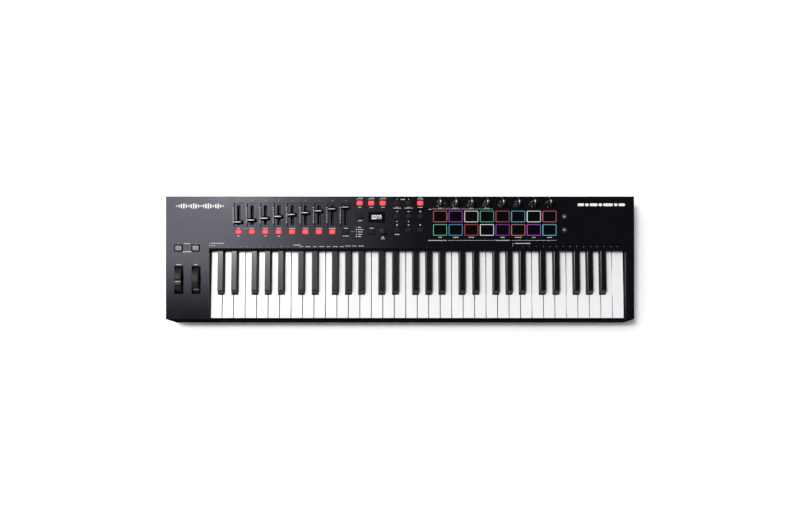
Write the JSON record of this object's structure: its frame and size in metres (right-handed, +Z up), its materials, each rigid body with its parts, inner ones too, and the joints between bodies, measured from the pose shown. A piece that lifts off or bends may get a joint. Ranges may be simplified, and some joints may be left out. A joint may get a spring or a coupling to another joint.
{
  "type": "keyboard synthesizer",
  "caption": "Keyboard instrument with piano-style keys, pitch and modulation wheels, faders, knobs, drum pads, buttons and a small display in a sloped black case.",
  "frame": {"origin": "middle of the footprint, on the surface the feet stand on", "axes": "+X to the player's right along the keys, +Y away from the player, +Z up"},
  "size_m": [0.954, 0.257, 0.0785],
  "materials": {
    "case_plastic": "black moulded ABS, fine satin spark texture",
    "base_plastic": "black moulded ABS, coarser satin texture",
    "chassis_plastic": "dark grey moulded ABS",
    "rod_steel": "ground steel rod",
    "circuit_board": "green solder mask",
    "window_acrylic": "polished smoked acrylic",
    "socket_plastic": "black nylon",
    "foot_rubber": "black rubber, matt",
    "white_key_plastic": "white ABS, satin gloss",
    "black_key_plastic": "black ABS, fine matt texture",
    "wheel_rubber": "black soft-touch rubber",
    "cap_plastic": "black soft-touch plastic",
    "silicone": "dark grey silicone rubber",
    "lit_silicone": "translucent silicone lit red from behind",
    "lit_light": "light guide lit from behind, in several colours",
    "white_ink": "printed white markings",
    "trim_metal": "spun and bead-blasted aluminium caps",
    "screw_steel": "black zinc screws",
    "contact_metal": "plated contacts and socket shells"
  },
  "bodies": {
    "case": {"top_case": "case_plastic", "bottom_case": "base_plastic", "keybed_chassis": "chassis_plastic", "key_pivot_rod": "rod_steel", "key_contact_board": "circuit_board", "fader_board": "circuit_board", "main_board": "circuit_board", "wheel_bracket": "chassis_plastic", "display_window": "window_acrylic", "power_board": "circuit_board", "data_board": "circuit_board", "pedal_jacks": "socket_plastic", "foot_1": "foot_rubber", "foot_2": "foot_rubber", "foot_3": "foot_rubber", "foot_4": "foot_rubber"},
    "pitch_wheel": {"pitch_wheel": "wheel_rubber"},
    "modulation_wheel": {"modulation_wheel": "wheel_rubber"},
    "fader_1": {"fader_1": "cap_plastic"},
    "master_fader": {"master_fader": "cap_plastic"},
    "knob_1": {"knob_1": "cap_plastic"},
    "encoder_knob": {"encoder_knob": "cap_plastic"},
    "power_rocker": {"power_rocker": "socket_plastic"},
    "octave_1_black_keys": {"octave_1_black_keys": "black_key_plastic"},
    "octave_1_white_keys_cegb": {"octave_1_white_keys_cegb": "white_key_plastic"},
    "octave_1_white_keys_dfa": {"octave_1_white_keys_dfa": "white_key_plastic"},
    "top_c_white_key": {"top_c_white_key": "white_key_plastic"},
    "pad_mat": {"pad_mat": "silicone"},
    "fader_button_mat": {"fader_button_mat": "lit_silicone"},
    "mode_button_mat": {"mode_button_mat": "lit_silicone"},
    "edit_button_mat": {"edit_button_mat": "silicone"},
    "transport_button_mat": {"transport_button_mat": "silicone"},
    "octave_button_mat": {"octave_button_mat": "silicone"},
    "scene_button_mat": {"scene_button_mat": "silicone"},
    "octave_2_black_keys": {"octave_2_black_keys": "black_key_plastic"},
    "octave_2_white_keys_cegb": {"octave_2_white_keys_cegb": "white_key_plastic"},
    "octave_2_white_keys_dfa": {"octave_2_white_keys_dfa": "white_key_plastic"},
    "octave_3_black_keys": {"octave_3_black_keys": "black_key_plastic"},
    "octave_3_white_keys_cegb": {"octave_3_white_keys_cegb": "white_key_plastic"},
    "octave_3_white_keys_dfa": {"octave_3_white_keys_dfa": "white_key_plastic"},
    "octave_4_black_keys": {"octave_4_black_keys": "black_key_plastic"},
    "octave_4_white_keys_cegb": {"octave_4_white_keys_cegb": "white_key_plastic"},
    "octave_4_white_keys_dfa": {"octave_4_white_keys_dfa": "white_key_plastic"},
    "octave_5_black_keys": {"octave_5_black_keys": "black_key_plastic"},
    "octave_5_white_keys_cegb": {"octave_5_white_keys_cegb": "white_key_plastic"},
    "octave_5_white_keys_dfa": {"octave_5_white_keys_dfa": "white_key_plastic"},
    "fader_2": {"fader_2": "cap_plastic"},
    "fader_3": {"fader_3": "cap_plastic"},
    "fader_4": {"fader_4": "cap_plastic"},
    "fader_5": {"fader_5": "cap_plastic"},
    "fader_6": {"fader_6": "cap_plastic"},
    "fader_7": {"fader_7": "cap_plastic"},
    "fader_8": {"fader_8": "cap_plastic"},
    "knob_2": {"knob_2": "cap_plastic"},
    "knob_3": {"knob_3": "cap_plastic"},
    "knob_4": {"knob_4": "cap_plastic"},
    "knob_5": {"knob_5": "cap_plastic"},
    "knob_6": {"knob_6": "cap_plastic"},
    "knob_7": {"knob_7": "cap_plastic"},
    "knob_8": {"knob_8": "cap_plastic"}
  },
  "joints": [
    {"name": "pitch_wheel_turn", "type": "hinge", "parent": "case", "child": "pitch_wheel", "pos_m": [-0.4503, -0.04043, 0.03712], "axis": [1, 0, 0], "range_deg": [-35, 35], "stiffness_Nm_per_rad": 0.12},
    {"name": "modulation_wheel_turn", "type": "hinge", "parent": "case", "child": "modulation_wheel", "pos_m": [-0.4152, -0.04043, 0.03712], "axis": [-1, 0, 0], "range_deg": [0, 76]},
    {"name": "fader_1_slide", "type": "slide", "parent": "case", "child": "fader_1", "axis": [0, 0.9986, 0.0523], "range_m": [0, 0.03]},
    {"name": "master_fader_slide", "type": "slide", "parent": "case", "child": "master_fader", "axis": [0, 0.9986, 0.0523], "range_m": [-0.03, 0]},
    {"name": "knob_1_turn", "type": "hinge", "parent": "case", "child": "knob_1", "pos_m": [0.0815, 0.11482, 0.06328], "axis": [0, -0.0523, 0.9986], "range_deg": [-150, 150]},
    {"name": "encoder_turn", "type": "hinge", "parent": "case", "child": "encoder_knob", "pos_m": [-0.0348, 0.0563, 0.06022], "axis": [0, -0.0523, 0.9986], "continuous": true},
    {"name": "power_rocker_tip", "type": "hinge", "parent": "case", "child": "power_rocker", "pos_m": [-0.418, 0.1249, 0.0205], "axis": [0, 0, 1], "range_deg": [0, 14]},
    {"name": "octave_1_black_keys_press", "type": "hinge", "parent": "case", "child": "octave_1_black_keys", "pos_m": [0, 0.0525, 0.03], "axis": [1, 0, 0], "range_deg": [0, 3], "stiffness_Nm_per_rad": 4, "springref_deg": -5.73},
    {"name": "octave_1_white_keys_cegb_press", "type": "hinge", "parent": "case", "child": "octave_1_white_keys_cegb", "pos_m": [0, 0.0525, 0.03], "axis": [1, 0, 0], "range_deg": [0, 3], "stiffness_Nm_per_rad": 3, "springref_deg": -5.73},
    {"name": "octave_1_white_keys_dfa_press", "type": "hinge", "parent": "case", "child": "octave_1_white_keys_dfa", "pos_m": [0, 0.0525, 0.03], "axis": [1, 0, 0], "range_deg": [0, 3], "stiffness_Nm_per_rad": 2.5, "springref_deg": -5.73},
    {"name": "top_c_white_key_press", "type": "hinge", "parent": "case", "child": "top_c_white_key", "pos_m": [0, 0.0525, 0.03], "axis": [1, 0, 0], "range_deg": [0, 3], "stiffness_Nm_per_rad": 1, "springref_deg": -5.73},
    {"name": "pad_mat_press", "type": "slide", "parent": "case", "child": "pad_mat", "axis": [0, 0.0523, -0.9986], "range_m": [0, 0.001], "stiffness_N_per_m": 1500, "springref_m": -0.002},
    {"name": "fader_button_mat_press", "type": "slide", "parent": "case", "child": "fader_button_mat", "axis": [0, 0.0523, -0.9986], "range_m": [0, 0.0012], "stiffness_N_per_m": 400, "springref_m": -0.002},
    {"name": "mode_button_mat_press", "type": "slide", "parent": "case", "child": "mode_button_mat", "axis": [0, 0.0523, -0.9986], "range_m": [0, 0.0012], "stiffness_N_per_m": 300, "springref_m": -0.002},
    {"name": "edit_button_mat_press", "type": "slide", "parent": "case", "child": "edit_button_mat", "axis": [0, 0.0523, -0.9986], "range_m": [0, 0.0012], "stiffness_N_per_m": 300, "springref_m": -0.002},
    {"name": "transport_button_mat_press", "type": "slide", "parent": "case", "child": "transport_button_mat", "axis": [0, 0.0523, -0.9986], "range_m": [0, 0.0012], "stiffness_N_per_m": 400, "springref_m": -0.002},
    {"name": "octave_button_mat_press", "type": "slide", "parent": "case", "child": "octave_button_mat", "axis": [0, 0.0523, -0.9986], "range_m": [0, 0.0012], "stiffness_N_per_m": 300, "springref_m": -0.002},
    {"name": "scene_button_mat_press", "type": "slide", "parent": "case", "child": "scene_button_mat", "axis": [0, 0.0523, -0.9986], "range_m": [0, 0.0012], "stiffness_N_per_m": 300, "springref_m": -0.002},
    {"name": "octave_2_black_keys_press", "type": "hinge", "parent": "case", "child": "octave_2_black_keys", "pos_m": [0, 0.0525, 0.03], "axis": [1, 0, 0], "range_deg": [0, 3], "stiffness_Nm_per_rad": 4, "springref_deg": -5.73},
    {"name": "octave_2_white_keys_cegb_press", "type": "hinge", "parent": "case", "child": "octave_2_white_keys_cegb", "pos_m": [0, 0.0525, 0.03], "axis": [1, 0, 0], "range_deg": [0, 3], "stiffness_Nm_per_rad": 3, "springref_deg": -5.73},
    {"name": "octave_2_white_keys_dfa_press", "type": "hinge", "parent": "case", "child": "octave_2_white_keys_dfa", "pos_m": [0, 0.0525, 0.03], "axis": [1, 0, 0], "range_deg": [0, 3], "stiffness_Nm_per_rad": 2.5, "springref_deg": -5.73},
    {"name": "octave_3_black_keys_press", "type": "hinge", "parent": "case", "child": "octave_3_black_keys", "pos_m": [0, 0.0525, 0.03], "axis": [1, 0, 0], "range_deg": [0, 3], "stiffness_Nm_per_rad": 4, "springref_deg": -5.73},
    {"name": "octave_3_white_keys_cegb_press", "type": "hinge", "parent": "case", "child": "octave_3_white_keys_cegb", "pos_m": [0, 0.0525, 0.03], "axis": [1, 0, 0], "range_deg": [0, 3], "stiffness_Nm_per_rad": 3, "springref_deg": -5.73},
    {"name": "octave_3_white_keys_dfa_press", "type": "hinge", "parent": "case", "child": "octave_3_white_keys_dfa", "pos_m": [0, 0.0525, 0.03], "axis": [1, 0, 0], "range_deg": [0, 3], "stiffness_Nm_per_rad": 2.5, "springref_deg": -5.73},
    {"name": "octave_4_black_keys_press", "type": "hinge", "parent": "case", "child": "octave_4_black_keys", "pos_m": [0, 0.0525, 0.03], "axis": [1, 0, 0], "range_deg": [0, 3], "stiffness_Nm_per_rad": 4, "springref_deg": -5.73},
    {"name": "octave_4_white_keys_cegb_press", "type": "hinge", "parent": "case", "child": "octave_4_white_keys_cegb", "pos_m": [0, 0.0525, 0.03], "axis": [1, 0, 0], "range_deg": [0, 3], "stiffness_Nm_per_rad": 3, "springref_deg": -5.73},
    {"name": "octave_4_white_keys_dfa_press", "type": "hinge", "parent": "case", "child": "octave_4_white_keys_dfa", "pos_m": [0, 0.0525, 0.03], "axis": [1, 0, 0], "range_deg": [0, 3], "stiffness_Nm_per_rad": 2.5, "springref_deg": -5.73},
    {"name": "octave_5_black_keys_press", "type": "hinge", "parent": "case", "child": "octave_5_black_keys", "pos_m": [0, 0.0525, 0.03], "axis": [1, 0, 0], "range_deg": [0, 3], "stiffness_Nm_per_rad": 4, "springref_deg": -5.73},
    {"name": "octave_5_white_keys_cegb_press", "type": "hinge", "parent": "case", "child": "octave_5_white_keys_cegb", "pos_m": [0, 0.0525, 0.03], "axis": [1, 0, 0], "range_deg": [0, 3], "stiffness_Nm_per_rad": 3, "springref_deg": -5.73},
    {"name": "octave_5_white_keys_dfa_press", "type": "hinge", "parent": "case", "child": "octave_5_white_keys_dfa", "pos_m": [0, 0.0525, 0.03], "axis": [1, 0, 0], "range_deg": [0, 3], "stiffness_Nm_per_rad": 2.5, "springref_deg": -5.73},
    {"name": "fader_2_slide", "type": "slide", "parent": "case", "child": "fader_2", "axis": [0, 0.9986, 0.0523], "range_m": [-0.00375, 0.02625]},
    {"name": "fader_3_slide", "type": "slide", "parent": "case", "child": "fader_3", "axis": [0, 0.9986, 0.0523], "range_m": [-0.0075, 0.0225]},
    {"name": "fader_4_slide", "type": "slide", "parent": "case", "child": "fader_4", "axis": [0, 0.9986, 0.0523], "range_m": [-0.01125, 0.01875]},
    {"name": "fader_5_slide", "type": "slide", "parent": "case", "child": "fader_5", "axis": [0, 0.9986, 0.0523], "range_m": [-0.015, 0.015]},
    {"name": "fader_6_slide", "type": "slide", "parent": "case", "child": "fader_6", "axis": [0, 0.9986, 0.0523], "range_m": [-0.01875, 0.01125]},
    {"name": "fader_7_slide", "type": "slide", "parent": "case", "child": "fader_7", "axis": [0, 0.9986, 0.0523], "range_m": [-0.0225, 0.0075]},
    {"name": "fader_8_slide", "type": "slide", "parent": "case", "child": "fader_8", "axis": [0, 0.9986, 0.0523], "range_m": [-0.02625, 0.00375]},
    {"name": "knob_2_turn", "type": "hinge", "parent": "case", "child": "knob_2", "pos_m": [0.11333, 0.11482, 0.06328], "axis": [0, -0.0523, 0.9986], "range_deg": [-150, 150]},
    {"name": "knob_3_turn", "type": "hinge", "parent": "case", "child": "knob_3", "pos_m": [0.14516, 0.11482, 0.06328], "axis": [0, -0.0523, 0.9986], "range_deg": [-150, 150]},
    {"name": "knob_4_turn", "type": "hinge", "parent": "case", "child": "knob_4", "pos_m": [0.17699, 0.11482, 0.06328], "axis": [0, -0.0523, 0.9986], "range_deg": [-150, 150]},
    {"name": "knob_5_turn", "type": "hinge", "parent": "case", "child": "knob_5", "pos_m": [0.20882, 0.11482, 0.06328], "axis": [0, -0.0523, 0.9986], "range_deg": [-150, 150]},
    {"name": "knob_6_turn", "type": "hinge", "parent": "case", "child": "knob_6", "pos_m": [0.24065, 0.11482, 0.06328], "axis": [0, -0.0523, 0.9986], "range_deg": [-150, 150]},
    {"name": "knob_7_turn", "type": "hinge", "parent": "case", "child": "knob_7", "pos_m": [0.27248, 0.11482, 0.06328], "axis": [0, -0.0523, 0.9986], "range_deg": [-150, 150]},
    {"name": "knob_8_turn", "type": "hinge", "parent": "case", "child": "knob_8", "pos_m": [0.30431, 0.11482, 0.06328], "axis": [0, -0.0523, 0.9986], "range_deg": [-150, 150]}
  ]
}
